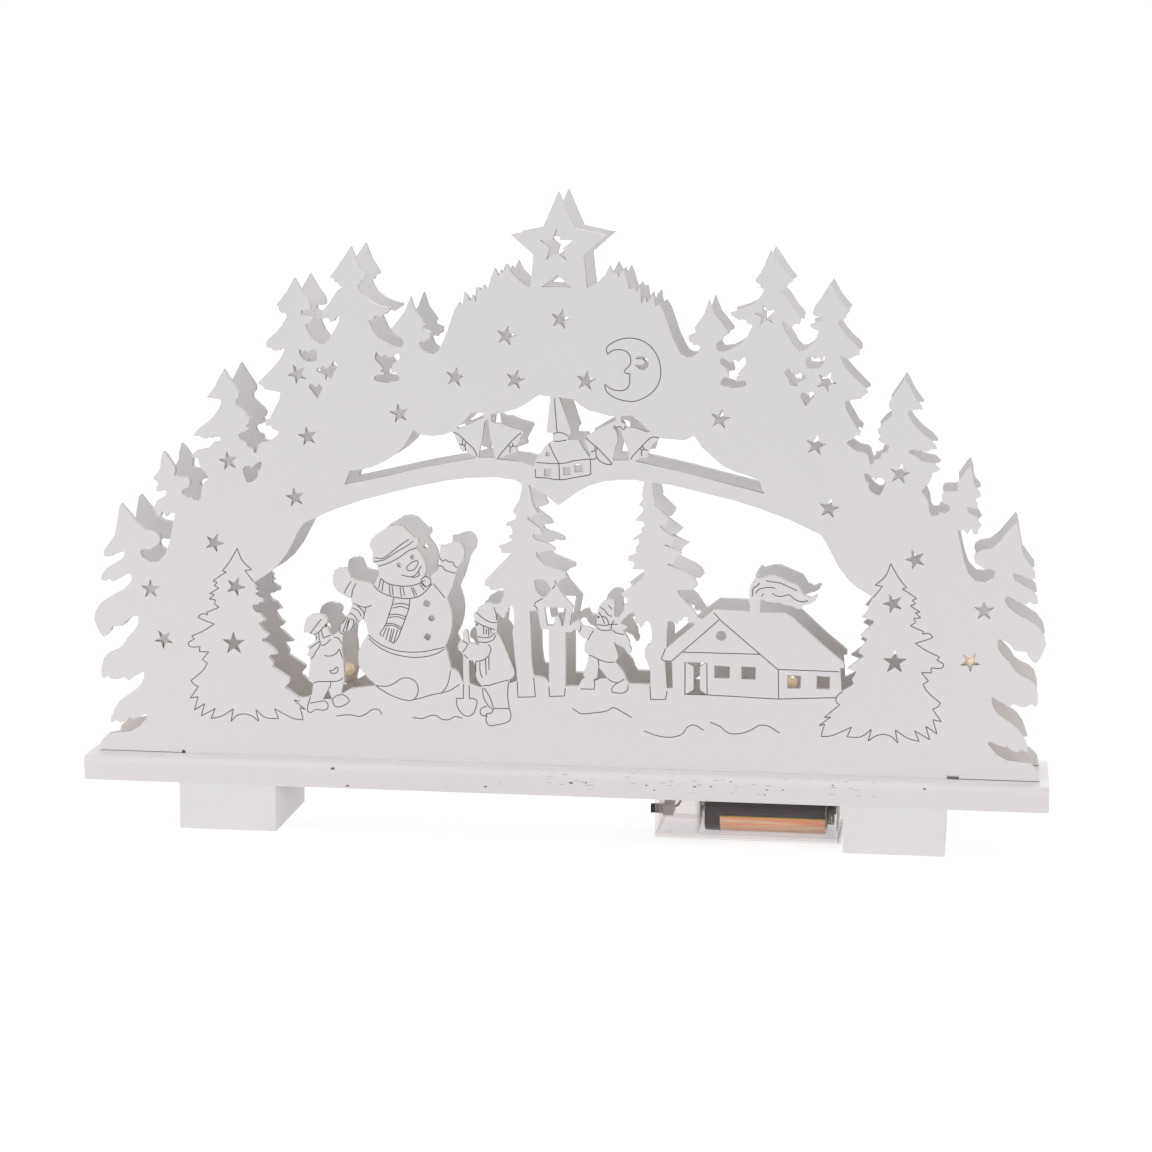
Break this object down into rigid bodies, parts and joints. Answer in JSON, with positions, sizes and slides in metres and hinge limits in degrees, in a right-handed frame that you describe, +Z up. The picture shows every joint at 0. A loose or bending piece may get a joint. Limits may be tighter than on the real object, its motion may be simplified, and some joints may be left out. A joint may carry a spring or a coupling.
{
  "type": "light-up candle arch",
  "caption": "Free-standing wooden arch of two cut-out winter village panels on a base board with feet, a lamp string between them and a clear battery box below.",
  "frame": {"origin": "middle of the footprint, on the surface that the feet stand on", "axes": "+X along the arch to the viewer's right, +Y away from the viewer, +Z up"},
  "size_m": [0.39, 0.05, 0.2584],
  "materials": {
    "painted_wood": "matt white paint on plywood and solid wood, with burnt brown engraved lines on the front panel",
    "clear_plastic": "clear moulded plastic, faintly frosted by the moulding",
    "grey_metal": "stamped grey switch shell",
    "black_plastic": "black moulded switch knob",
    "cell_steel": "nickel-plated steel cell can",
    "sleeve_film": "printed shrink film, dark grey with orange bands, no text",
    "contact_steel": "nickel-plated spring steel",
    "resin": "warm clear resin drop round the light",
    "copper_wire": "enamelled copper wire pair"
  },
  "bodies": {
    "arch": {"front_panel": "painted_wood", "back_panel": "painted_wood", "base_board": "painted_wood", "left_foot": "painted_wood", "right_foot": "painted_wood", "battery_case": "clear_plastic", "switch_body": "grey_metal", "front_cell": "cell_steel", "front_cell_sleeve": "sleeve_film", "rear_cell": "cell_steel", "rear_cell_sleeve": "sleeve_film", "positive_contact": "contact_steel", "negative_contact": "contact_steel", "link_contact": "contact_steel", "front_spring": "contact_steel", "rear_spring": "contact_steel", "lamp_far_left": "resin", "lamp_left": "resin", "lamp_right": "resin", "lamp_far_right": "resin", "lead_wire": "copper_wire", "left_strand": "copper_wire", "right_strand": "copper_wire"},
    "lid": {"battery_lid": "clear_plastic"},
    "knob": {"switch_knob": "black_plastic"}
  },
  "joints": [
    {"name": "lid_slide", "type": "slide", "parent": "arch", "child": "lid", "axis": [-1, 0, 0], "range_m": [0, 0.06]},
    {"name": "knob_slide", "type": "slide", "parent": "arch", "child": "knob", "axis": [0, 1, 0], "range_m": [0, 0.003]}
  ]
}
